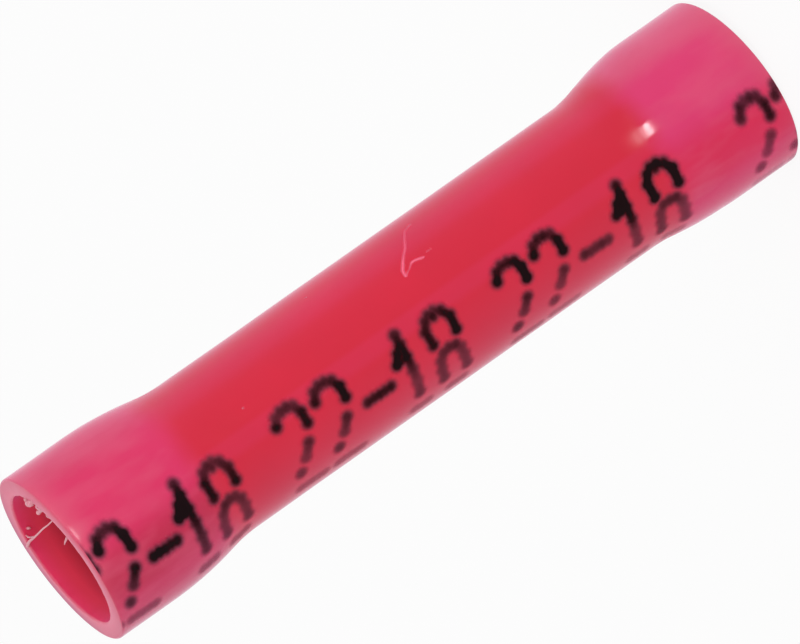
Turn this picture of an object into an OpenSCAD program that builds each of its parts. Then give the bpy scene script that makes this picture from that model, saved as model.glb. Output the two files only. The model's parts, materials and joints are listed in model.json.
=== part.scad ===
// Insulated butt splice for thin wires: a tinned crimp barrel inside a bell-mouthed nylon sleeve.
// It stands on one mouth, with the wires' axis along Z and the lower rim at Z = 0. All sizes are in mm.

/* [Crimp barrel] */
// Length of the metal barrel
barrel_len = 16.5; // [12:0.5:24]
// Diameter of the bore that takes the stripped wire
barrel_bore_d = 1.9; // [1.4:0.05:2.6]
// Wall of the barrel
barrel_wall = 0.8; // [0.6:0.05:1.1]
// Countersink that leads the strands in, measured along the axis
barrel_lead_in = 0.3; // [0.1:0.05:0.5]
// Bevel on the outer edge of each end
barrel_edge = 0.12; // [0.05:0.01:0.2]

/* [Wire stop] */
// How far the rolled stop stands into the bore
stop_height = 0.45; // [0.25:0.05:0.6]
// Nose radius of the wheel that rolled the stop
stop_nose_r = 0.7; // [0.4:0.05:1]
// Wall lost where the stop was rolled in
stop_thinning = 0.2; // [0:0.05:0.3]

/* [Grip grooves] */
// Grooves in each half of the bore
grip_count = 3; // [1:1:4]
// Width of a groove at the bore
grip_w = 0.3; // [0.15:0.05:0.4]
// Depth of a groove
grip_depth = 0.1; // [0.05:0.01:0.14]
// Distance from groove to groove
grip_pitch = 1.3; // [0.8:0.1:1.4]
// Distance from the barrel's end to its first groove
grip_first = 1.6; // [0.8:0.1:2]

/* [Insulating sleeve] */
// Wall of the nylon
sleeve_wall = 0.6; // [0.4:0.05:0.9]
// Gap between the barrel and the sleeve's bore, per side
sleeve_clearance = 0.02; // [0.01:0.01:0.06]
// How far the sleeve reaches past each end of the barrel
sleeve_overhang = 3.75; // [2.5:0.25:6]
// How much wider each mouth is than the middle, per side
mouth_flare = 0.34; // [0.2:0.02:0.7]
// Length of the straight part of each mouth
mouth_land = 1.95; // [1:0.05:3]
// Radius of the neck's curve next to the mouth
neck_shoulder_r = 10.3; // [4:0.1:14]
// Radius of the neck's curve next to the middle
neck_root_r = 4; // [2:0.25:8]
// Rounding on the edges of each cut rim
rim_round = 0.08; // [0.03:0.01:0.15]

/* [Hidden] */

$fn = 72;
// Fine division for the neck's wide arcs
arc_fn = 360;
// Overrun of a cutting shape past the face it cuts
overrun = 1;

// Barrel
bore_r = barrel_bore_d / 2;
barrel_r = bore_r + barrel_wall;
barrel_base = sleeve_overhang;
barrel_mid = barrel_len / 2;

// Rolled stop: its groove outside and its ridge inside share one centre
stop_web = barrel_wall - stop_thinning;
stop_centre_r = bore_r - stop_height + stop_web + stop_nose_r;
stop_overlap_r = bore_r + barrel_wall / 2;

// Sleeve
sleeve_len = barrel_len + 2 * sleeve_overhang;
mid_r = barrel_r + sleeve_clearance + sleeve_wall;
mouth_r = mid_r + mouth_flare;

// The neck is two arcs that meet at one slope, the shoulder's and the root's
neck_radii = neck_shoulder_r + neck_root_r;
neck_slope = acos(1 - mouth_flare / neck_radii);
neck_end = mouth_land + neck_radii * sin(neck_slope);

// A shape and its mirror image at the far end of a length
module both_ends(length) {
    children();
    translate([0, length]) mirror([0, 1]) children();
}

// One mouth and its neck, from the axis to the sleeve's surface moved inwards by inset
module mouth_outline(inset) {
    turn = mouth_land + (neck_shoulder_r - inset) * sin(neck_slope);
    // land of the mouth, without the rounded rim
    translate([0, rim_round]) square([mouth_r - inset, mouth_land - rim_round]);
    // shoulder, curving away from the mouth and running on inside the root
    intersection() {
        translate([0, rim_round]) square([mouth_r + overrun, neck_end - rim_round]);
        translate([mouth_r - neck_shoulder_r, mouth_land])
            circle(r = neck_shoulder_r - inset, $fn = arc_fn);
    }
    // root, curving back to the middle
    difference() {
        translate([0, turn]) square([mouth_r, neck_end - turn]);
        translate([mid_r + neck_root_r, neck_end])
            circle(r = neck_root_r + inset, $fn = arc_fn);
    }
}

// Rounded outer edge of a rim
module rim_outside() {
    square([mouth_r - rim_round, rim_round]);
    intersection() {
        translate([mouth_r - rim_round, -overrun]) square([overrun, overrun + rim_round]);
        translate([mouth_r - rim_round, rim_round]) circle(r = rim_round);
    }
}

// Space inside a rim, widening at its rounded inner edge
module rim_inside() {
    edge_r = mouth_r - sleeve_wall + rim_round;
    difference() {
        translate([0, -overrun]) square([edge_r, overrun + rim_round]);
        translate([edge_r, rim_round]) circle(r = rim_round);
    }
}

// Half section of the nylon wall
module sleeve_section() {
    difference() {
        union() {
            square([mid_r, sleeve_len]);
            both_ends(sleeve_len) {
                rim_outside();
                mouth_outline(0);
            }
        }
        translate([0, -overrun]) square([mid_r - sleeve_wall, sleeve_len + 2 * overrun]);
        both_ends(sleeve_len) {
            rim_inside();
            mouth_outline(sleeve_wall);
        }
    }
}

// Tube with bevelled ends, before the stop and the grooves
module tube_section() {
    lead_r = bore_r + barrel_lead_in;
    edge_r = barrel_r - barrel_edge;
    polygon([
        [bore_r, barrel_lead_in],
        [lead_r, 0],
        [edge_r, 0],
        [barrel_r, barrel_edge],
        [barrel_r, barrel_len - barrel_edge],
        [edge_r, barrel_len],
        [lead_r, barrel_len],
        [bore_r, barrel_len - barrel_lead_in]
    ]);
}

// V grooves across one half of the bore
module grip_section() {
    for (i = [0 : grip_count - 1])
        translate([bore_r, grip_first + i * grip_pitch])
            polygon([[0, -grip_w / 2], [grip_depth, 0], [0, grip_w / 2], [-grip_depth, 0]]);
}

// Half section of the barrel's metal
module barrel_section() {
    difference() {
        union() {
            tube_section();
            // ridge that the wires butt against
            intersection() {
                square([stop_overlap_r, barrel_len]);
                translate([stop_centre_r, barrel_mid]) circle(r = stop_nose_r + stop_web, $fn = arc_fn);
            }
        }
        // groove that the wheel left outside
        translate([stop_centre_r, barrel_mid]) circle(r = stop_nose_r, $fn = arc_fn);
        both_ends(barrel_len) grip_section();
    }
}

// Red nylon sleeve, belled at both ends, one moulding
module insulating_sleeve() {
    color([0.84, 0.16, 0.24]) rotate_extrude() sleeve_section();
}

// Tinned copper barrel, pressed into the middle of the sleeve
module crimp_barrel() {
    color([0.78, 0.78, 0.76]) translate([0, 0, barrel_base]) rotate_extrude() barrel_section();
}

insulating_sleeve();
crimp_barrel();
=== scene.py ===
"""Looks of an insulated butt splice: red nylon over a tinned barrel, printed with its wire range."""
import json
import math
import random

import bpy
import numpy as np
from mathutils import Matrix, Vector, noise


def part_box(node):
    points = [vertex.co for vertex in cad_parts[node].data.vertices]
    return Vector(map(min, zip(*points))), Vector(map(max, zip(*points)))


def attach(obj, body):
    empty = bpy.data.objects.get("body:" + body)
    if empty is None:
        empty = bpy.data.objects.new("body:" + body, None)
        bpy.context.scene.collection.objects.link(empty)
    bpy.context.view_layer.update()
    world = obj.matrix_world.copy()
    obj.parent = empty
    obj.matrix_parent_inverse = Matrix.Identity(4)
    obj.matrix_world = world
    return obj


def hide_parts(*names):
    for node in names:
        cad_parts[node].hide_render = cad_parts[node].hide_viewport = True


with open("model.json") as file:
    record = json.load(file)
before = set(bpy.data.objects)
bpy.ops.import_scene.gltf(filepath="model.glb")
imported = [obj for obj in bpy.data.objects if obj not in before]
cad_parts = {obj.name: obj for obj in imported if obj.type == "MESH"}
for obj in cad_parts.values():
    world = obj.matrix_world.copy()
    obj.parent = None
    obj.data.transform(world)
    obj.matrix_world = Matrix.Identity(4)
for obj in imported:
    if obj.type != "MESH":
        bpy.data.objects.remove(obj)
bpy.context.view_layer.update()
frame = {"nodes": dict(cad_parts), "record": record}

MM = 0.001
MICRON = 0.001 * MM
BODY = "root"

# Sizes of the part, from the frame
sleeve_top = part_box("insulating_sleeve")[1]
barrel_low, barrel_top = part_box("crimp_barrel")
bore_r = {m["name"]: m["dims"]["r_mm"] * MM for m in frame["record"]["mounts"] if m["kind"] == "bore"}
LENGTH = sleeve_top.z
HALF_LENGTH = LENGTH / 2
MOUTH_R = sleeve_top.x
WALL = MOUTH_R - bore_r["insulation_mouth_top"]
BARREL_HALF = (barrel_top.z - barrel_low.z) / 2
MIDDLE = Vector((0, 0, HALF_LENGTH))

# The sleeve's section, with the same values as the solid
CLEARANCE = 0.02 * MM
MID_R = barrel_top.x + CLEARANCE + WALL
LAND = 1.95 * MM
SHOULDER_R = 10.3 * MM
ROOT_R = 4.0 * MM
RIM_ROUND = 0.08 * MM
NECK_SLOPE = math.acos(1 - (MOUTH_R - MID_R) / (SHOULDER_R + ROOT_R))
NECK_END = LAND + (SHOULDER_R + ROOT_R) * math.sin(NECK_SLOPE)
# Distances from the middle at which the neck starts and is steepest
NECK_STARTS = HALF_LENGTH - NECK_END
NECK_STEEPEST = HALF_LENGTH - LAND - SHOULDER_R * math.sin(NECK_SLOPE)

# How the picture is taken: the near mouth is the upper one, at the picture's lower left
PICTURE_W = 800
PICTURE_H = 644
VIEW_TILT = math.radians(17.15)
VIEW_ROLL = math.radians(35.133)
VIEW_DISTANCE = 183 * MM
PIXELS_PER_MM = 36.168
PART_CENTRE_PX = (405.9, 316.8)
SENSOR = 36.0
CLIP_START = 10 * MM


def srgb(red, green, blue):
    """A colour written as 0 to 255, as the linear values that the shaders take."""
    def linear(value):
        share = value / 255
        return share / 12.92 if share <= 0.04045 else ((share + 0.055) / 1.055) ** 2.4
    return (linear(red), linear(green), linear(blue), 1.0)


# Colours of the nylon, with painted light and shade: its outside, the inside of its mouths, and where it was
# cut or worn
RED_OVER_METAL = srgb(209, 5, 36)
# Paler red for the painted reflections along the middle
RED_PAINTED_REFLECTION = srgb(211, 18, 55)
# Each bell's pink: lit, with painted shade, and with a paler painted highlight
UPPER_LIT = srgb(217, 34, 90)
UPPER_PAINTED_SHADE = srgb(192, 12, 58)
UPPER_PAINTED_HIGHLIGHT = srgb(213, 46, 90)
LOWER_LIT = srgb(218, 46, 105)
LOWER_PAINTED_SHADE = srgb(218, 5, 68)
LOWER_PAINTED_HIGHLIGHT = srgb(218, 74, 112)
PINK_BLOOM = srgb(219, 84, 116)
BLOTCH_SHADE = srgb(248, 240, 240)
SHEEN_PINK = (1.0, 0.35, 0.75, 1.0)
# Inside a mouth: painted light at the rim, the mouth, and painted shade deeper in
INSIDE_PAINTED_LIGHT_AT_RIM = srgb(255, 70, 118)
INSIDE_MOUTH = srgb(253, 72, 100)
INSIDE_PAINTED_SHADE = srgb(222, 60, 78)
# The cut face: its near side, painted light at its sides, painted shade on its far side, and its pale inner
# edge
CUT_NEAR = srgb(221, 86, 98)
CUT_SIDE_PAINTED_LIGHT = srgb(218, 114, 124)
CUT_FAR_PAINTED_SHADE = srgb(180, 80, 104)
CUT_EDGE = srgb(230, 128, 138)
STRAIN_PALE = srgb(216, 92, 116)
BURR_DARK = srgb(222, 128, 146)
BURR_PALE = srgb(238, 168, 180)
SCUFF_DARK = srgb(244, 100, 134)
SCUFF_PALE = srgb(255, 130, 160)
# Colours of the rest
INK_THIN = srgb(28, 46, 56)
INK_FULL = srgb(9, 6, 8)
TIN_BRIGHT = srgb(214, 212, 206)
TIN_DULL = srgb(176, 173, 168)
FLOOR_PALE = srgb(250, 250, 250)
WHITE = (1.0, 1.0, 1.0, 1.0)


def wall_radius(depth, inset=0.0):
    """Radius of the sleeve's surface, moved inwards by inset, at a depth below the nearer rim."""
    turn = LAND + (SHOULDER_R - inset) * math.sin(NECK_SLOPE)
    if depth <= LAND:
        return MOUTH_R - inset
    if depth <= turn:
        return MOUTH_R - SHOULDER_R + math.sqrt((SHOULDER_R - inset) ** 2 - (depth - LAND) ** 2)
    if depth < NECK_END:
        return MID_R + ROOT_R - math.sqrt((ROOT_R + inset) ** 2 - (NECK_END - depth) ** 2)
    return MID_R - inset


def rim_step(depth):
    """How far the rounded edge of a rim stands back from the wall's surface."""
    if depth >= RIM_ROUND:
        return 0.0
    return RIM_ROUND - math.sqrt(RIM_ROUND ** 2 - (RIM_ROUND - depth) ** 2)


# Faults of this one sleeve: it tapers a little, its ends are cut askew and its lower bell is pushed aside
TAPER = 0.013
UPPER_ASKEW = 0.030
LOWER_ASKEW = 0.045
ASKEW_REACH = 4.0 * MM
LOWEST_EDGE = MOUTH_R * (1 + TAPER)
BELL_SHIFT = 0.105 * MM
BELL_SHIFT_STARTS = 5.0 * MM
BELL_SHIFT_ENDS = 2.6 * MM
# Its drawn surface has slow waves, and its cut inner edges are ragged
WAVE_HEIGHT = 6 * MICRON
WAVE_LENGTH = 2.2 * MM
RAGGED_EDGE = 0.05 * MM
RAGGED_LENGTH = 0.16 * MM


def settled(x, y, z):
    """A point of the true form, moved by the sleeve's faults."""
    upper = max(0.0, 1 - (LENGTH - z) / ASKEW_REACH)
    lower = max(0.0, 1 - z / ASKEW_REACH)
    pushed = min(1.0, max(0.0, (BELL_SHIFT_STARTS - z) / (BELL_SHIFT_STARTS - BELL_SHIFT_ENDS)))
    tilt = upper * UPPER_ASKEW * x + lower * LOWER_ASKEW * (x + LOWEST_EDGE)
    return Vector((x + BELL_SHIFT * pushed, y, z + tilt))


def place(turn, z, radius):
    """A point at a turn from the camera's side, which grows towards the picture's lower right."""
    return settled(-radius * math.sin(turn), -radius * math.cos(turn), z)


def outer_radius(turn, z):
    """Outer radius of the sleeve, with its rounded rims and the slow waves of the drawn nylon."""
    depth = min(z, LENGTH - z)
    drawn = 1 - TAPER * (2 * z / LENGTH - 1)
    radius = wall_radius(depth) * drawn - rim_step(depth)
    spot = Vector((radius * math.cos(turn), radius * math.sin(turn), z)) / WAVE_LENGTH
    return radius + WAVE_HEIGHT * noise.noise(spot)


def inner_radius(turn, z):
    """Inner radius of the sleeve, a little ragged where a rim was cut."""
    depth = min(z, LENGTH - z)
    radius = wall_radius(depth, WALL) + rim_step(depth)
    cut = max(0.0, 1 - depth / RIM_ROUND)
    spot = Vector((math.cos(turn), math.sin(turn), 0)) * radius / RAGGED_LENGTH
    return radius - RAGGED_EDGE * cut * max(0.0, noise.noise(spot))


def piece_from(name, points, faces, material):
    """A smooth mesh piece that moves with the part."""
    mesh = bpy.data.meshes.new(name)
    mesh.from_pydata([tuple(p) for p in points], [], faces)
    mesh.polygons.foreach_set("use_smooth", [True] * len(mesh.polygons))
    mesh.materials.append(material)
    mesh.update()
    piece = bpy.data.objects.new(name, mesh)
    bpy.context.scene.collection.objects.link(piece)
    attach(piece, BODY)
    return piece


def point_values(piece, name, values):
    """A number on each point of a piece, for its material to read."""
    attribute = piece.data.attributes.new(name, "FLOAT", "POINT")
    attribute.data.foreach_set("value", np.asarray(values, np.float32))


def casts_no_shade(film):
    """A film so thin that the nylon under it gets all its light."""
    film.visible_shadow = False
    film.visible_diffuse = False


# A noise's middle, and the range in which most of its values lie
NOISE_MIDDLE = 0.5
NOISE_LOW = 0.3
NOISE_HIGH = 0.7
NOISE_DETAIL = 3.0
# Sockets of the Mix node: its factor and its two colours, and the colour that comes out
MIX_IN = (0, 6, 7)
MIX_OUT = 2


class Shader:
    """A material's nodes, made and linked by short calls."""

    def __init__(self, name):
        self.material = bpy.data.materials.new(name)
        self.material.use_nodes = True
        self.tree = self.material.node_tree
        self.surface = self.tree.nodes["Principled BSDF"]

    def node(self, kind, settings=None, **inputs):
        """A node with its settings, and its inputs given as values or as other nodes' outputs."""
        made = self.tree.nodes.new(kind)
        for key, value in (settings or {}).items():
            setattr(made, key, value)
        for key, value in inputs.items():
            self.feed(made.inputs[key.replace("_", " ")], value)
        return made

    def feed(self, socket, value):
        """A socket's value, or the output that it reads."""
        if isinstance(value, bpy.types.NodeSocket):
            self.tree.links.new(value, socket)
        else:
            socket.default_value = value

    def set(self, **inputs):
        """Inputs of the surface shader."""
        for key, value in inputs.items():
            self.feed(self.surface.inputs[key.replace("_", " ")], value)

    def mix(self, factor, low, high, blend="MIX"):
        """Two colours mixed by a factor."""
        made = self.node("ShaderNodeMix", {"data_type": "RGBA", "blend_type": blend})
        for socket, value in zip(MIX_IN, (factor, low, high)):
            self.feed(made.inputs[socket], value)
        return made.outputs[MIX_OUT]

    def math(self, operation, *values):
        """Arithmetic on numbers or outputs."""
        made = self.node("ShaderNodeMath", {"operation": operation})
        for socket, value in zip(made.inputs, values):
            self.feed(socket, value)
        return made.outputs[0]

    def span(self, value, low, high, to_low=0.0, to_high=1.0, smooth=False):
        """A value carried from one range to another."""
        kind = {"interpolation_type": "SMOOTHSTEP"} if smooth else {}
        made = self.node("ShaderNodeMapRange", kind, Value=value, From_Min=low, From_Max=high)
        made.inputs["To Min"].default_value = to_low
        made.inputs["To Max"].default_value = to_high
        return made.outputs["Result"]

    def spread(self, grain, to_low=0.0, to_high=1.0):
        """A noise carried to a range, over the values that it has most."""
        return self.span(grain, NOISE_LOW, NOISE_HIGH, to_low, to_high)

    def band(self, value, start, full, thins, end):
        """A share that rises from start to full, and falls again from where it thins to its end."""
        rise = self.span(value, start, full, smooth=True)
        return self.math("MULTIPLY", rise, self.span(value, end, thins, smooth=True))

    def shaken(self, value, grain, amount):
        """A value moved up and down by a noise."""
        return self.math("MULTIPLY_ADD", self.math("SUBTRACT", grain, NOISE_MIDDLE), amount, value)

    def attribute(self, name):
        """A number that the mesh carries."""
        return self.node("ShaderNodeAttribute", {"attribute_name": name}).outputs["Fac"]

    def place(self):
        """The place on the part, in metres."""
        return self.node("ShaderNodeTexCoord").outputs["Object"]

    def noise(self, grain, stretch=None):
        """Noise whose features are about as large as grain."""
        where = self.place()
        if stretch:
            where = self.node("ShaderNodeMapping", Vector=where, Scale=stretch).outputs[0]
        made = self.node("ShaderNodeTexNoise", Vector=where, Scale=1 / grain, Detail=NOISE_DETAIL)
        return made.outputs["Fac"]

    def bump(self, height, distance):
        """A bump from a height."""
        return self.node("ShaderNodeBump", Height=height, Distance=distance).outputs["Normal"]


# Where the nylon's colour changes, by X, which grows towards the picture's upper left: painted reflections
# along the middle, and painted light and shade on the bells
FRONT_PAINTED_REFLECTION = (-0.6 * MM, -0.3 * MM, 0.0, 0.2 * MM)
SIDE_PAINTED_REFLECTION = (1.2 * MM, 1.6 * MM, 1.8 * MM, 2.1 * MM)
BELL_PAINTED_SHADE_GROWS = (0.0, -1.1 * MM)
BELL_PAINTED_SHADE_EASES = (-2.15 * MM, -1.6 * MM)
BELL_EDGE_PAINTED_SHADE = 0.5
BELL_PAINTED_HIGHLIGHT_GROWS = (1.5 * MM, 2.15 * MM)
# The same by Y, which grows away from the camera: painted light and shade on the cut face
CUT_FRONT = (-2.2 * MM, -0.8 * MM)
CUT_BACK = (0.8 * MM, 2.2 * MM)
# The same by Z and by the distance from the middle
LOWER_TO_UPPER = (LENGTH / 3, LENGTH * 2 / 3)
RED_ENDS = (BARREL_HALF - 0.65 * MM, BARREL_HALF + 0.3 * MM)
# Where the painted shade inside a mouth gives way, and where the painted light at its rim comes in
INSIDE_BRIGHTENS = (HALF_LENGTH - 1.0 * MM, HALF_LENGTH - 0.6 * MM)
INSIDE_RIM = (HALF_LENGTH - 0.5 * MM, HALF_LENGTH - 0.1 * MM)
NECK_ROOT = (NECK_STARTS, NECK_STARTS + 0.3 * MM, NECK_STEEPEST - 0.04 * MM, NECK_STEEPEST + 0.16 * MM)
# Grains of the nylon, and how much each does
BLOTCH_GRAIN = 2.5 * MM
BLOTCH_MOVES_RED = 0.8 * MM
BLOOM_GRAIN = 0.9 * MM
BLOOM_STRETCH = (1, 1, 0.35)
BLOOM_RANGE = (0.45, 0.7)
BLOOM_MOST = 0.45
DRAWN_GRAIN = 0.35 * MM
DRAWN_STRETCH = (1, 1, 0.3)
DRAWN_RELIEF = 1.0 * MICRON
FIBRE_GRAIN = 0.12 * MM
FIBRE_RANGE = (0.2, 0.8)
FIBRE_LEAST = 0.75
# Roughness of the nylon's skin, and what the neck's root, the strain and the cut add to it
SKIN_ROUGHNESS = (0.08, 0.12)
ROOT_ROUGHER = 0.14
STRAIN_ROUGHER = 0.15
CUT_ROUGHER = 0.35
# How far red, green and blue light go in the nylon, and the depth that 1 stands for
RED_SCATTER = (1.0, 0.3, 0.4)
RED_SCATTER_DEPTH = 0.5 * MM


def bell_pink(s, x, lit, deep, pale):
    """The pink of a bell: painted shade deepens it towards the picture's lower right, and a painted
    highlight makes it paler along its upper left.
    """
    painted_shade = s.math("MULTIPLY", s.span(x, *BELL_PAINTED_SHADE_GROWS, smooth=True),
                      s.span(x, *BELL_PAINTED_SHADE_EASES, BELL_EDGE_PAINTED_SHADE, 1.0, smooth=True))
    pink = s.mix(painted_shade, lit, deep)
    return s.mix(s.span(x, *BELL_PAINTED_HIGHLIGHT_GROWS, smooth=True), pink, pale)


def outside_dye_and_painted_light(s, where, from_middle, blotch):
    """Deep red with two paler bands of painted reflection over the barrel, pinker at the mouths, painted for
    the light that comes through there.
    """
    painted_reflections = s.math("ADD", s.band(where["X"], *FRONT_PAINTED_REFLECTION), s.band(where["X"], *SIDE_PAINTED_REFLECTION))
    red = s.mix(painted_reflections, RED_OVER_METAL, RED_PAINTED_REFLECTION)
    pink = s.mix(s.span(where["Z"], *LOWER_TO_UPPER),
                 bell_pink(s, where["X"], LOWER_LIT, LOWER_PAINTED_SHADE, LOWER_PAINTED_HIGHLIGHT),
                 bell_pink(s, where["X"], UPPER_LIT, UPPER_PAINTED_SHADE, UPPER_PAINTED_HIGHLIGHT))
    bloom = s.noise(BLOOM_GRAIN, BLOOM_STRETCH)
    pink = s.mix(s.span(bloom, *BLOOM_RANGE, 0.0, BLOOM_MOST), pink, PINK_BLOOM)
    edge = s.shaken(from_middle, blotch, BLOTCH_MOVES_RED)
    return s.mix(s.span(edge, *RED_ENDS, smooth=True), red, pink)


def inside_dye_and_painted_light(s, from_middle):
    """The inside of a mouth, with painted shade deeper in and painted light that makes it brighter towards
    the rim.
    """
    inside = s.mix(s.span(from_middle, *INSIDE_BRIGHTENS), INSIDE_PAINTED_SHADE, INSIDE_MOUTH)
    return s.mix(s.span(from_middle, *INSIDE_RIM), inside, INSIDE_PAINTED_LIGHT_AT_RIM)


def cut_face(s, y):
    """The pale face of a cut rim, palest along its inner edge, with painted light at its sides and painted
    shade on its far side.
    """
    pale = s.mix(s.span(y, *CUT_FRONT), CUT_NEAR, CUT_SIDE_PAINTED_LIGHT)
    pale = s.mix(s.span(y, *CUT_BACK), pale, CUT_FAR_PAINTED_SHADE)
    return s.mix(s.attribute("edge"), pale, CUT_EDGE)


def red_nylon():
    """Dyed nylon with painted light and shade, whitened by strain below its rims and pale where it was cut.
    """
    s = Shader("red_nylon")
    where = s.node("ShaderNodeSeparateXYZ", Vector=s.place()).outputs
    from_middle = s.math("ABSOLUTE", s.math("SUBTRACT", where["Z"], HALF_LENGTH))
    strain = s.attribute("strain")
    cut = s.attribute("cut")
    blotch = s.noise(BLOTCH_GRAIN)
    outside = outside_dye_and_painted_light(s, where, from_middle, blotch)
    dye_and_painted_light = s.mix(s.attribute("inside"), outside, inside_dye_and_painted_light(s, from_middle))
    dye_and_painted_light = s.mix(1.0, dye_and_painted_light, s.mix(s.spread(blotch), BLOTCH_SHADE, WHITE), "MULTIPLY")
    dye_and_painted_light = s.mix(strain, dye_and_painted_light, STRAIN_PALE)
    fibre = s.span(s.noise(FIBRE_GRAIN), *FIBRE_RANGE, FIBRE_LEAST, 1.0)
    s.set(Base_Color=s.mix(s.math("MULTIPLY", cut, fibre), dye_and_painted_light, cut_face(s, where["Y"])))
    grain = s.noise(DRAWN_GRAIN, DRAWN_STRETCH)
    roughness = s.spread(grain, *SKIN_ROUGHNESS)
    root = s.band(from_middle, *NECK_ROOT)
    for share, rougher in ((root, ROOT_ROUGHER), (strain, STRAIN_ROUGHER), (cut, CUT_ROUGHER)):
        roughness = s.math("MULTIPLY_ADD", share, rougher, roughness)
    s.set(Roughness=roughness, Normal=s.bump(grain, DRAWN_RELIEF), Specular_IOR_Level=0.25)
    s.set(Subsurface_Weight=0.25, Subsurface_Radius=RED_SCATTER, Subsurface_Scale=RED_SCATTER_DEPTH)
    s.set(Sheen_Weight=0.3, Sheen_Roughness=0.7, Sheen_Tint=SHEEN_PINK)
    return s.material


# Strained or scratched nylon
WORN_ROUGHNESS = (0.35, 0.5)
BURR_GRAIN = 0.08 * MM
BURR_RELIEF = 4 * MICRON
PALE_SCATTER = (1.0, 0.6, 0.6)
PALE_SCATTER_DEPTH = 0.15 * MM
SCUFF_GRAIN = 0.05 * MM
SCUFF_RELIEF = 2 * MICRON
SCUFF_RANGE = (0.2, 0.8)
SCUFF_LEAST = 0.7


def worn_nylon(name, grain, dark, pale, relief):
    """A shader for streaky whitened nylon, and its streaks."""
    s = Shader(name)
    streak = s.noise(grain)
    s.set(Base_Color=s.mix(s.spread(streak), dark, pale), Roughness=s.spread(streak, *WORN_ROUGHNESS))
    s.set(Normal=s.bump(streak, relief), Specular_IOR_Level=0.3)
    return s, streak


def pale_nylon():
    """Thin shavings and stretched threads of the same nylon, whitened by the strain."""
    s, _ = worn_nylon("pale_nylon", BURR_GRAIN, BURR_DARK, BURR_PALE, BURR_RELIEF)
    s.set(Subsurface_Weight=0.3, Subsurface_Radius=PALE_SCATTER, Subsurface_Scale=PALE_SCATTER_DEPTH)
    return s.material


def scuffed_nylon():
    """A shallow scratch that turned the nylon lighter, fading at its ends."""
    s, streak = worn_nylon("scuffed_nylon", SCUFF_GRAIN, SCUFF_DARK, SCUFF_PALE, SCUFF_RELIEF)
    patchy = s.span(streak, *SCUFF_RANGE, SCUFF_LEAST, 1.0)
    s.set(Alpha=s.math("MULTIPLY", s.attribute("wear"), patchy))
    return s.material


# Ink, by its share of the densest: where it ends, turns black and covers, and its grain
INK_EDGE = 0.04
INK_BLACKENS = (0.7, 0.95)
INK_COVERS = 0.98
INK_OPACITY = 0.99
INK_GRAIN = 0.06 * MM
INK_SPECKLE = 0.12
INK_ROUGHNESS = (0.4, 0.55)
INK_RELIEF = 1.5 * MICRON


def marking_ink():
    """Jet-printed ink: black where the drops pile up, greyish and see-through where they are thin."""
    s = Shader("marking_ink")
    speckle = s.noise(INK_GRAIN)
    load = s.shaken(s.attribute("ink_load"), speckle, INK_SPECKLE)
    s.set(Base_Color=s.mix(s.span(load, *INK_BLACKENS), INK_THIN, INK_FULL))
    s.set(Alpha=s.span(load, INK_EDGE, INK_COVERS, 0.0, INK_OPACITY))
    s.set(Roughness=s.spread(speckle, *INK_ROUGHNESS), Normal=s.bump(speckle, INK_RELIEF))
    s.set(Specular_IOR_Level=0.06)
    return s.material


# Tin: the lines of the drawn tube, and the clouds in its gloss
TIN_LINE_GRAIN = 0.05 * MM
TIN_LINE_STRETCH = (1, 1, 0.06)
TIN_LINE_RELIEF = 2 * MICRON
TIN_CLOUD_GRAIN = 0.9 * MM
TIN_ROUGHNESS = (0.36, 0.24)


def tinned_copper():
    """Dull bright tin with faint lines from the drawing of the tube."""
    s = Shader("tinned_copper")
    lines = s.noise(TIN_LINE_GRAIN, TIN_LINE_STRETCH)
    cloud = s.noise(TIN_CLOUD_GRAIN)
    s.set(Base_Color=s.mix(s.spread(cloud), TIN_DULL, TIN_BRIGHT), Metallic=1.0)
    s.set(Roughness=s.spread(cloud, *TIN_ROUGHNESS), Normal=s.bump(lines, TIN_LINE_RELIEF))
    return s.material


nylon = red_nylon()
burr_nylon = pale_nylon()
scuff = scuffed_nylon()
ink = marking_ink()
tin = tinned_copper()

# Division of the sleeve: round it, round each rim's edge, and along a land, a neck and half the middle
SLEEVE_SIDES = 192
RIM_STEPS = 6
OUTSIDE_STEPS = (14, 32, 44)
INSIDE_STEPS = (6, 16, 12)


def half_depths(steps):
    """Depths below a rim at which the section has points, from the rim to the middle."""
    depths = [RIM_ROUND * (1 - math.cos(math.pi / 2 * i / RIM_STEPS)) for i in range(RIM_STEPS)]
    ends = (RIM_ROUND, LAND, NECK_END, HALF_LENGTH)
    for start, end, count in zip(ends, ends[1:], steps):
        depths += [start + (end - start) * i / count for i in range(count)]
    return depths + [HALF_LENGTH]


def full_heights(depths):
    """The same stations over the whole length, from the lower rim to the upper one."""
    return depths + [LENGTH - d for d in reversed(depths[:-1])]


# Below a rim the cut has strained the nylon, most of all on one side
STRAIN_DEPTH = 1.0 * MM
STRAIN_SIDE = math.radians(-20)
STRAIN_NARROWS = 1.5
STRAIN_MOST = 0.75
STRAIN_ELSEWHERE = 0.2
# Power by which the cut's paleness ends on the outer edge of a rim
CUT_FADE = 6


def wrapped(turn):
    """The same turn between half a turn back and half a turn on."""
    return math.remainder(turn, 2 * math.pi)


def strain_whitening(turn, depth):
    """How pale the cut has turned the nylon just below a rim."""
    fading = max(0.0, 1 - depth / STRAIN_DEPTH) ** 2
    side = math.cos(STRAIN_NARROWS * wrapped(turn - STRAIN_SIDE))
    return STRAIN_MOST * fading * max(STRAIN_ELSEWHERE, side)


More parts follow.
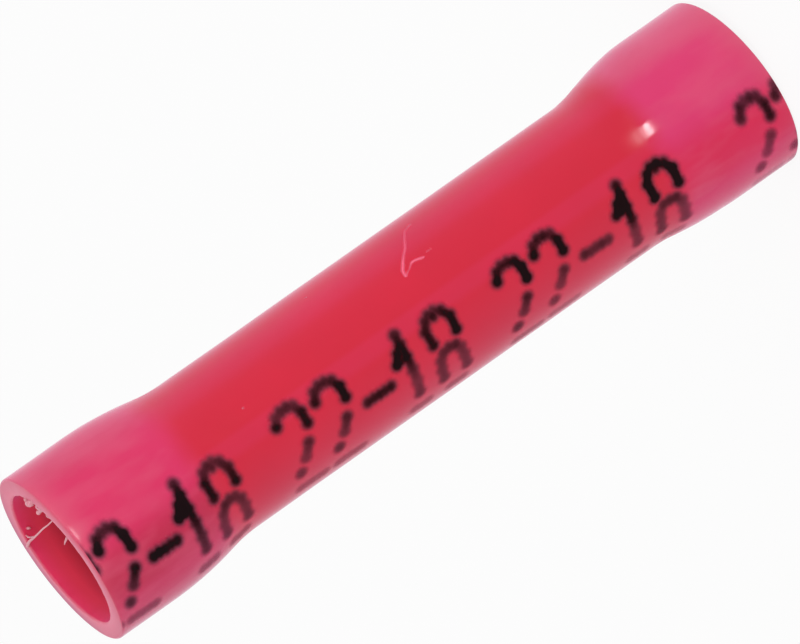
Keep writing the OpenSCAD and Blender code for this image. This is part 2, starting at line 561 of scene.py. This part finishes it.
def sleeve_mesh():
    """The nylon sleeve, one closed revolved wall."""
    outside = [(0.0, z) for z in full_heights(half_depths(OUTSIDE_STEPS))]
    inside = [(1.0, z) for z in reversed(full_heights(half_depths(INSIDE_STEPS)))]
    stations = outside + inside
    points = []
    marks = {"inside": [], "cut": [], "strain": [], "edge": []}
    for inner, z in stations:
        depth = min(z, LENGTH - z)
        rounded = max(0.0, 1 - depth / RIM_ROUND)
        for i in range(SLEEVE_SIDES):
            turn = 2 * math.pi * i / SLEEVE_SIDES
            points.append(place(turn, z, inner_radius(turn, z) if inner else outer_radius(turn, z)))
            marks["inside"].append(inner)
            marks["cut"].append(rounded if inner else rounded ** CUT_FADE)
            marks["strain"].append(0.0 if inner else strain_whitening(turn, depth))
            marks["edge"].append(inner * rounded)
    faces = []
    for ring in range(len(stations)):
        after = (ring + 1) % len(stations)
        for i in range(SLEEVE_SIDES):
            j = (i + 1) % SLEEVE_SIDES
            corners = ((ring, j), (ring, i), (after, i), (after, j))
            faces.append(tuple(row * SLEEVE_SIDES + side for row, side in corners))
    sleeve = piece_from("sleeve", points, faces, nylon)
    for name, values in marks.items():
        point_values(sleeve, name, values)
    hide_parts("insulating_sleeve")


sleeve_mesh()
frame["nodes"]["crimp_barrel"].material_slots[0].material = tin

DASH_DOTS = 5


def dash(row):
    """A level stroke of dots across a character."""
    return tuple((i / DASH_DOTS, row) for i in range(DASH_DOTS))


# The marking: the wire range in strokes of dots, each (mm from the character's left, mm below its top row)
GLYPHS = {
    "2": (
        ((-0.01, 0.26), (0.13, 0.03), (0.33, -0.05), (0.53, -0.05),
         (0.71, 0.02), (0.82, 0.27), (0.82, 0.62)),
        ((0.60, 1.15), (0.37, 1.52)),
        ((0.08, 1.95),),
        dash(2.62),
    ),
    "-": (dash(1.16),),
    "1": (
        ((0.40, -0.06), (0.37, 0.23), (0.18, 0.42), (0.01, 0.67),
         (0.20, 0.65), (0.37, 0.65), (0.37, 0.23)),
        ((0.27, 0.46),),
        ((0.37, 0.65), (0.37, 1.06), (0.36, 1.48), (0.36, 1.93)),
        ((0.12, 2.58), (0.35, 2.60), (0.58, 2.58)),
    ),
    "8": (
        ((0.04, 0.79), (0.01, 0.34), (0.15, 0.09), (0.32, -0.01),
         (0.52, -0.02), (0.70, 0.07), (0.85, 0.32), (0.84, 0.76)),
        ((0.42, 0.06),),
        ((0, 2.02), (0, 1.64), (0.07, 1.35), (0.22, 1.16), (0.42, 1.12),
         (0.62, 1.15), (0.75, 1.33), (0.79, 1.64), (0.79, 2.04)),
        ((0.20, 2.60), (0.42, 2.62), (0.64, 2.60)),
    ),
}
# Each character: where it starts in mm below the near rim, how far it sits below its line in mm,
# and how much ink it got
MARKING = (
    ("2", -0.89, 0.06, 1.00),
    ("2", 0.36, 0.06, 1.05),
    ("-", 1.58, 0.06, 1.10),
    ("1", 2.74, 0.08, 1.05),
    ("8", 3.89, 0.11, 0.95),
    ("2", 6.48, 0.02, 0.95),
    ("2", 7.78, 0.02, 1.00),
    ("-", 9.10, -0.01, 1.10),
    ("1", 10.31, 0.02, 1.00),
    ("8", 11.49, 0.03, 1.00),
    ("2", 14.02, 0.05, 1.05),
    ("2", 15.32, -0.02, 1.00),
    ("-", 16.67, -0.05, 1.00),
    ("1", 18.00, -0.05, 1.05),
    ("8", 19.21, 0.03, 1.05),
    ("2", 22.54, -0.02, 0.95),
    ("2", 23.79, -0.02, 0.90),
)
# How dense the ink is at the near rim and at the far one, in rows given in mm below a character's top row:
# the top, the shoulder's two ends, the waist, the legs' two ends and the foot
INK_ROWS_MM = (0.02, 0.25, 0.80, 1.15, 1.50, 2.10, 2.50)
INK_NEAR = (0.90, 1.00, 1.00, 0.93, 0.83, 0.83, 0.50)
INK_FAR = (0.95, 1.00, 1.00, 0.82, 0.65, 0.65, 0.20)
# Drops, the bridges between close ones, the softness of their edges, and how far out they are worked out
DOT_R = 0.20 * MM
BRIDGE_R = 0.165 * MM
BRIDGE_REACH = 0.52 * MM
EDGE_SOFTNESS = 0.18
RADII_OUT = 2
# Each drop strays a little in its place and its density
PRINT_SEED = 7
DROP_STRAYS = 0.012 * MM
DROP_VARIES = 0.04
# The line of print drifts round the sleeve as it goes along
PRINT_DRIFT = 0.0262
# Strip round the sleeve that can hold ink, the margin that it keeps at the far rim, and its grid
PRINT_STRIP = (-0.45 * MM, 3.6 * MM)
PRINT_MARGIN = 0.01 * MM
INK_CELL = 0.03 * MM
# Height of the film over the nylon at its edge, and what the densest ink adds
INK_LIFT = 1.5 * MICRON
INK_FILM = 5 * MICRON


def ink_density(x, row):
    """How dense the ink is at a distance below the near rim, in a row of a character."""
    near = np.interp(row, INK_ROWS_MM, INK_NEAR)
    far = np.interp(row, INK_ROWS_MM, INK_FAR)
    return near + x / LENGTH * (far - near)


def ink_strokes():
    """Each stroke as a list of drops: (distance below the near rim, arc round the middle, density)."""
    draw = random.Random(PRINT_SEED)
    strokes = []
    for character, start, lowered, inked in MARKING:
        for stroke in GLYPHS[character]:
            drops = []
            for column, row in stroke:
                x = (start + column) * MM
                y = PRINT_DRIFT * x + (row + lowered) * MM
                density = inked * ink_density(x, row) * draw.uniform(1 - DROP_VARIES, 1 + DROP_VARIES)
                x += draw.uniform(-DROP_STRAYS, DROP_STRAYS)
                y += draw.uniform(-DROP_STRAYS, DROP_STRAYS)
                drops.append((x, y, density))
            strokes.append(drops)
    return strokes


def ink_field():
    """The ink's density on a grid of the printed strip."""
    along = np.arange(0, LENGTH - PRINT_MARGIN, INK_CELL)
    across = np.arange(*PRINT_STRIP, INK_CELL)
    field = np.zeros((len(along), len(across)))

    def lay(start, end, radius):
        """Ink from one drop to another, or in one drop where both are the same."""
        (ax, ay, first), (bx, by, second) = start, end
        out = RADII_OUT * radius
        near = (along > min(ax, bx) - out) & (along < max(ax, bx) + out)
        beside = (across > min(ay, by) - out) & (across < max(ay, by) + out)
        x, y = np.meshgrid(along[near], across[beside], indexing="ij")
        run = (bx - ax) ** 2 + (by - ay) ** 2
        share = np.clip(((x - ax) * (bx - ax) + (y - ay) * (by - ay)) / run, 0, 1) if run else 0.0
        reach = np.hypot(x - ax - share * (bx - ax), y - ay - share * (by - ay)) / radius
        density = first + share * (second - first)
        laid = density / (1 + np.exp((reach - 1) / EDGE_SOFTNESS))
        spot = np.ix_(near, beside)
        field[spot] = np.maximum(field[spot], laid)

    for drops in ink_strokes():
        for drop in drops:
            lay(drop, drop, DOT_R)
        for drop, following in zip(drops, drops[1:]):
            if math.dist(drop[:2], following[:2]) < BRIDGE_REACH:
                lay(drop, following, BRIDGE_R)
    return along, across, field


def cell_outline(corners, loads):
    """The inked part of a grid cell, with each point as (first corner, second corner, share of the way)."""
    outline = []
    for a, corner in enumerate(corners):
        b = (a + 1) % len(corners)
        if loads[a] >= INK_EDGE:
            outline.append((corner, corner, 0.0))
        if (loads[a] >= INK_EDGE) != (loads[b] >= INK_EDGE):
            share = (INK_EDGE - loads[a]) / (loads[b] - loads[a])
            outline.append((corner, corners[b], share))
    return outline


def marking_mesh():
    """The printed marking, a thin film that follows the sleeve and thins out at its edges."""
    along, across, load = ink_field()
    points, loads, faces = [], [], []
    known = {}

    def point_at(first, second, share):
        """Number of the point between two corners of the grid, made when it is first asked for."""
        key = (min(first, second), max(first, second))
        if key not in known:
            (i, j), (m, n) = first, second
            x = along[i] + share * (along[m] - along[i])
            z = LENGTH - x
            turn = (across[j] + share * (across[n] - across[j])) / MID_R
            amount = load[first] + share * (load[second] - load[first])
            lift = INK_LIFT + INK_FILM * min(1.0, amount - INK_EDGE)
            known[key] = len(points)
            points.append(place(turn, z, outer_radius(turn, z) + lift))
            loads.append(amount)
        return known[key]

    wet = load >= INK_EDGE
    for i, j in zip(*np.nonzero(wet[:-1, :-1] | wet[1:, :-1] | wet[:-1, 1:] | wet[1:, 1:])):
        corners = [(i, j), (i, j + 1), (i + 1, j + 1), (i + 1, j)]
        outline = cell_outline(corners, [load[c] for c in corners])
        faces.append(tuple(point_at(*p) for p in outline))
    marking = piece_from("wire_range_print", points, faces, ink)
    point_values(marking, "ink_load", loads)
    casts_no_shade(marking)


marking_mesh()

# Shavings and threads that the cut left on the near rim, as (x, y, depth, thickness) in mm
BURRS = (
    ((1.76, -1.46, 0.05, 0.06), (1.70, -1.30, 0.00, 0.17),
     (1.74, -1.08, -0.02, 0.20), (1.81, -0.88, 0.00, 0.06)),
    ((1.95, -1.07, 0.05, 0.05), (1.87, -1.04, 0.00, 0.13), (1.75, -0.95, 0.00, 0.05)),
    ((1.35, -1.76, 0.04, 0.07), (1.38, -1.52, 0.00, 0.09),
     (1.38, -1.30, 0.00, 0.14), (1.36, -1.12, 0.00, 0.05)),
    ((1.60, -1.52, 0.04, 0.06), (1.50, -1.46, 0.01, 0.09), (1.36, -1.62, 0.04, 0.06)),
    ((1.24, -1.82, 0.04, 0.05), (1.16, -1.76, 0.02, 0.07), (1.05, -1.88, 0.04, 0.05)),
    ((0.99, -1.95, 0.04, 0.04), (0.96, -1.18, 0.02, 0.045),
     (0.96, -0.40, 0.04, 0.05), (0.93, 0.34, 0.04, 0.055),
     (0.91, 1.00, 0.02, 0.065), (0.90, 1.52, 0.00, 0.085),
     (0.84, 2.00, -0.01, 0.09), (0.80, 2.18, 0.02, 0.05)),
    ((1.10, 1.86, 0.10, 0.05), (1.00, 1.40, 0.02, 0.05), (0.93, 0.90, 0.03, 0.04)),
    ((0.40, -2.16, 0.02, 0.08), (0.36, -2.00, 0.00, 0.07),
     (0.32, -1.70, 0.00, 0.05), (0.28, -1.42, 0.02, 0.04)),
    ((1.25, 1.78, 0.20, 0.04), (1.22, 1.68, 0.22, 0.09), (1.18, 1.66, 0.28, 0.06)),
)
BURR_SIDES = 10
BURR_STEPS = 6
BURR_THINNEST_MM = 0.01


def strand(path):
    """Points and faces of a closed thread along (point, half thickness) pairs."""
    points, faces = [], []
    side = (path[1][0] - path[0][0]).orthogonal()
    for i, (at, thick) in enumerate(path):
        ahead = (path[min(i + 1, len(path) - 1)][0] - path[max(i - 1, 0)][0]).normalized()
        side = (side - ahead * side.dot(ahead)).normalized()
        other = ahead.cross(side)
        for k in range(BURR_SIDES):
            angle = 2 * math.pi * k / BURR_SIDES
            points.append(at + (side * math.cos(angle) + other * math.sin(angle)) * thick)
    for ring in range(len(path) - 1):
        low = ring * BURR_SIDES
        high = low + BURR_SIDES
        for k in range(BURR_SIDES):
            j = (k + 1) % BURR_SIDES
            faces.append((low + k, low + j, high + j, high + k))
    last = (len(path) - 1) * BURR_SIDES
    faces.append(tuple(reversed(range(BURR_SIDES))))
    faces.append(tuple(range(last, last + BURR_SIDES)))
    return points, faces


def smooth_path(path, steps):
    """More points along a path, on a smooth curve through the given ones."""
    given = [np.array(p) for p in path]
    given = [2 * given[0] - given[1]] + given + [2 * given[-1] - given[-2]]
    fine = []
    for a, b, c, d in zip(given, given[1:], given[2:], given[3:]):
        for i in range(steps):
            t = i / steps
            fine.append(0.5 * (2 * b + (c - a) * t + (2 * a - 5 * b + 4 * c - d) * t ** 2
                               + (3 * b - a - 3 * c + d) * t ** 3))
    return fine + [given[-2]]


def burr_mesh():
    """The shavings and threads on the near rim."""
    points, faces = [], []
    for path in BURRS:
        line = [(settled(x * MM, y * MM, LENGTH - depth * MM), max(thick, BURR_THINNEST_MM) / 2 * MM)
                for x, y, depth, thick in smooth_path(path, BURR_STEPS)]
        more_points, more_faces = strand(line)
        faces += [tuple(n + len(points) for n in face) for face in more_faces]
        points += more_points
    burrs = piece_from("rim_burrs", points, faces, burr_nylon)


burr_mesh()

# A scratch in three strokes and two specks, as (height in mm, turn in degrees, width in mm, how worn)
SCUFFS = (
    ((10.72, -58.2, 0.06, 0.1), (10.80, -57.4, 0.12, 0.6), (11.01, -55.3, 0.10, 0.4),
     (11.19, -50.0, 0.11, 0.55), (11.45, -40.6, 0.11, 0.7), (11.67, -35.6, 0.12, 0.8),
     (11.91, -28.9, 0.14, 1.0), (11.98, -26.6, 0.14, 1.0), (12.02, -22.0, 0.12, 0.9)),
    ((12.02, -22.2, 0.10, 0.8), (11.87, -24.5, 0.07, 0.5), (11.78, -25.5, 0.07, 0.5),
     (11.63, -28.1, 0.11, 0.9), (11.48, -28.1, 0.12, 1.0), (11.28, -26.5, 0.12, 0.9),
     (11.22, -26.6, 0.08, 0.3)),
    ((11.12, -28.0, 0.06, 0.2), (11.04, -28.5, 0.10, 0.4), (10.92, -28.3, 0.08, 0.1)),
    ((14.44, -58.9, 0.08, 0.5), (14.38, -57.4, 0.10, 0.6)),
    ((18.01, -13.0, 0.08, 0.6), (17.94, -12.4, 0.10, 0.6)),
)
SCUFF_STEPS = 4
SCUFF_LIFT = 2 * MICRON
# Points across a scuff: its two edges, which are not worn, and its middle
SCUFF_SIDES = (-1, 0, 1)


def scuff_mesh():
    """Shallow marks, thin strips that follow the sleeve."""
    points, wear, faces = [], [], []
    for path in SCUFFS:
        line = smooth_path(path, SCUFF_STEPS)
        flat = [np.array((math.radians(turn) * MID_R, z * MM)) for z, turn, *_ in line]
        for i, (*_, width, worn) in enumerate(line):
            ahead = flat[min(i + 1, len(flat) - 1)] - flat[max(i - 1, 0)]
            across = np.array((-ahead[1], ahead[0])) / np.linalg.norm(ahead) * width / 2 * MM
            row = len(points)
            for side in SCUFF_SIDES:
                arc, height = flat[i] + side * across
                turn = arc / MID_R
                points.append(place(turn, height, outer_radius(turn, height) + SCUFF_LIFT))
                wear.append(min(1.0, max(0.0, worn)) * (1 - abs(side)))
            if i:
                before = row - len(SCUFF_SIDES)
                strips = range(len(SCUFF_SIDES) - 1)
                faces += [(before + k, before + k + 1, row + k + 1, row + k) for k in strips]
    marks = piece_from("scuff_marks", points, faces, scuff)
    point_values(marks, "wear", wear)
    casts_no_shade(marks)


scuff_mesh()

# Share of the floor's white that is its own glow, and the light from all round, with 1 for white paper
FLOOR_GLOW = 0.9
WORLD_LEVEL = 0.74
# Half of the floor's side, and its gap below the part
FLOOR_HALF = 2.0
FLOOR_GAP = 10 * MICRON


def seen_itself(tree):
    """An output that is 1 for what is seen, directly or in glossy or clear matter, and 0 for light."""
    path = tree.nodes.new("ShaderNodeLightPath").outputs
    seen = path["Is Camera Ray"]
    for name in ("Is Glossy Ray", "Is Transmission Ray"):
        either = tree.nodes.new("ShaderNodeMath")
        either.operation = "MAXIMUM"
        tree.links.new(seen, either.inputs[0])
        tree.links.new(path[name], either.inputs[1])
        seen = either.outputs[0]
    return seen


def floor_material():
    """A plain white floor that keeps a soft shadow, and looks white to the camera and in reflections."""
    s = Shader("floor_white")
    s.set(Base_Color=FLOOR_PALE, Roughness=0.9, Specular_IOR_Level=0.0)
    glow = s.node("ShaderNodeEmission", Color=WHITE, Strength=1.0)
    blend = s.node("ShaderNodeMixShader")
    s.feed(blend.inputs[0], s.math("MULTIPLY", seen_itself(s.tree), FLOOR_GLOW))
    s.feed(blend.inputs[1], s.surface.outputs[0])
    s.feed(blend.inputs[2], glow.outputs[0])
    s.feed(s.tree.nodes["Material Output"].inputs["Surface"], blend.outputs[0])
    return s.material


def floor():
    """The floor that the splice stands on."""
    mesh = bpy.data.meshes.new("floor")
    signs = ((-1, -1), (1, -1), (1, 1), (-1, 1))
    corners = [(x * FLOOR_HALF, y * FLOOR_HALF, -FLOOR_GAP) for x, y in signs]
    mesh.from_pydata(corners, [], [(0, 1, 2, 3)])
    mesh.materials.append(floor_material())
    plane = bpy.data.objects.new("floor", mesh)
    bpy.context.scene.collection.objects.link(plane)


floor()


def world_light():
    """Even light from all round, with a white background for the camera and for reflections."""
    world = bpy.data.worlds.new("studio")
    bpy.context.scene.world = world
    world.use_nodes = True
    tree = world.node_tree
    background = tree.nodes["Background"]
    background.inputs["Color"].default_value = WHITE
    level = tree.nodes.new("ShaderNodeMapRange")
    tree.links.new(seen_itself(tree), level.inputs["Value"])
    level.inputs["To Min"].default_value = WORLD_LEVEL
    level.inputs["To Max"].default_value = 1.0
    tree.links.new(level.outputs["Result"], background.inputs["Strength"])


def softbox(name, at, aim, width, height, level):
    """A rectangular lamp at a place, aimed at a point. Its level has 1 for the brightness of white paper."""
    lamp = bpy.data.lights.new(name, "AREA")
    lamp.shape = "RECTANGLE"
    lamp.size = width
    lamp.size_y = height
    lamp.energy = math.pi * width * height * level
    box = bpy.data.objects.new(name, lamp)
    bpy.context.scene.collection.objects.link(box)
    box.location = at
    box.rotation_euler = (at - aim).to_track_quat("Z", "Y").to_euler()
    box.visible_camera = False


def towards(bearing, rise, distance, start):
    """A point at a distance from a start, at a bearing and a rise."""
    turn = math.radians(bearing)
    climb = math.radians(rise)
    way = Vector((math.sin(turn) * math.cos(climb), -math.cos(turn) * math.cos(climb), math.sin(climb)))
    return start + way * distance


# Lamps: bearings in degrees from the camera's side towards the picture's upper left, rises in degrees
KEY_BEARING = 32
KEY_RISE = 24
KEY_DISTANCE = 260 * MM
KEY_SIDE = 170 * MM
KEY_LEVEL = 1.35
STRIP_BEARING = 15.3
STRIP_RISE = 4.0
STRIP_DISTANCE = 100 * MM
STRIP_W = 28 * MM
STRIP_H = 2.5 * MM
STRIP_LEVEL = 65.0
# Place on the lower bell's shoulder where the strip lamp shines back as one small spot
SPOT_TURN = math.radians(-7.8)
SPOT_Z = 3.92 * MM


def lamps():
    """A large soft lamp on the whole part, and a thin bright one for the spot."""
    key_at = towards(KEY_BEARING, KEY_RISE, KEY_DISTANCE, MIDDLE)
    softbox("key_softbox", key_at, MIDDLE, KEY_SIDE, KEY_SIDE, KEY_LEVEL)
    spot = place(SPOT_TURN, SPOT_Z, wall_radius(SPOT_Z))
    strip_at = towards(STRIP_BEARING, STRIP_RISE, STRIP_DISTANCE, spot)
    softbox("strip_lamp", strip_at, spot, STRIP_W, STRIP_H, STRIP_LEVEL)


world_light()
lamps()


def camera():
    """The camera, at the angle, roll and framing of the picture."""
    back = Vector((0, -math.cos(VIEW_TILT), math.sin(VIEW_TILT)))
    along = Vector((0, math.sin(VIEW_TILT), math.cos(VIEW_TILT)))
    across = Vector((1, 0, 0))
    right = -math.cos(VIEW_ROLL) * along - math.sin(VIEW_ROLL) * across
    up = -math.sin(VIEW_ROLL) * along + math.cos(VIEW_ROLL) * across
    off_right = (PART_CENTRE_PX[0] - PICTURE_W / 2) / PIXELS_PER_MM * MM
    off_up = (PICTURE_H / 2 - PART_CENTRE_PX[1]) / PIXELS_PER_MM * MM
    data = bpy.data.cameras.new("camera")
    data.sensor_fit = "HORIZONTAL"
    data.sensor_width = SENSOR
    data.lens = PIXELS_PER_MM / MM * VIEW_DISTANCE * SENSOR / PICTURE_W
    data.clip_start = CLIP_START
    eye = MIDDLE + back * VIEW_DISTANCE - right * off_right - up * off_up
    made = bpy.data.objects.new("camera", data)
    made.matrix_world = Matrix.Translation(eye) @ Matrix((right, up, back)).transposed().to_4x4()
    bpy.context.scene.collection.objects.link(made)
    bpy.context.scene.camera = made


camera()
bpy.context.scene.view_settings.view_transform = "Standard"
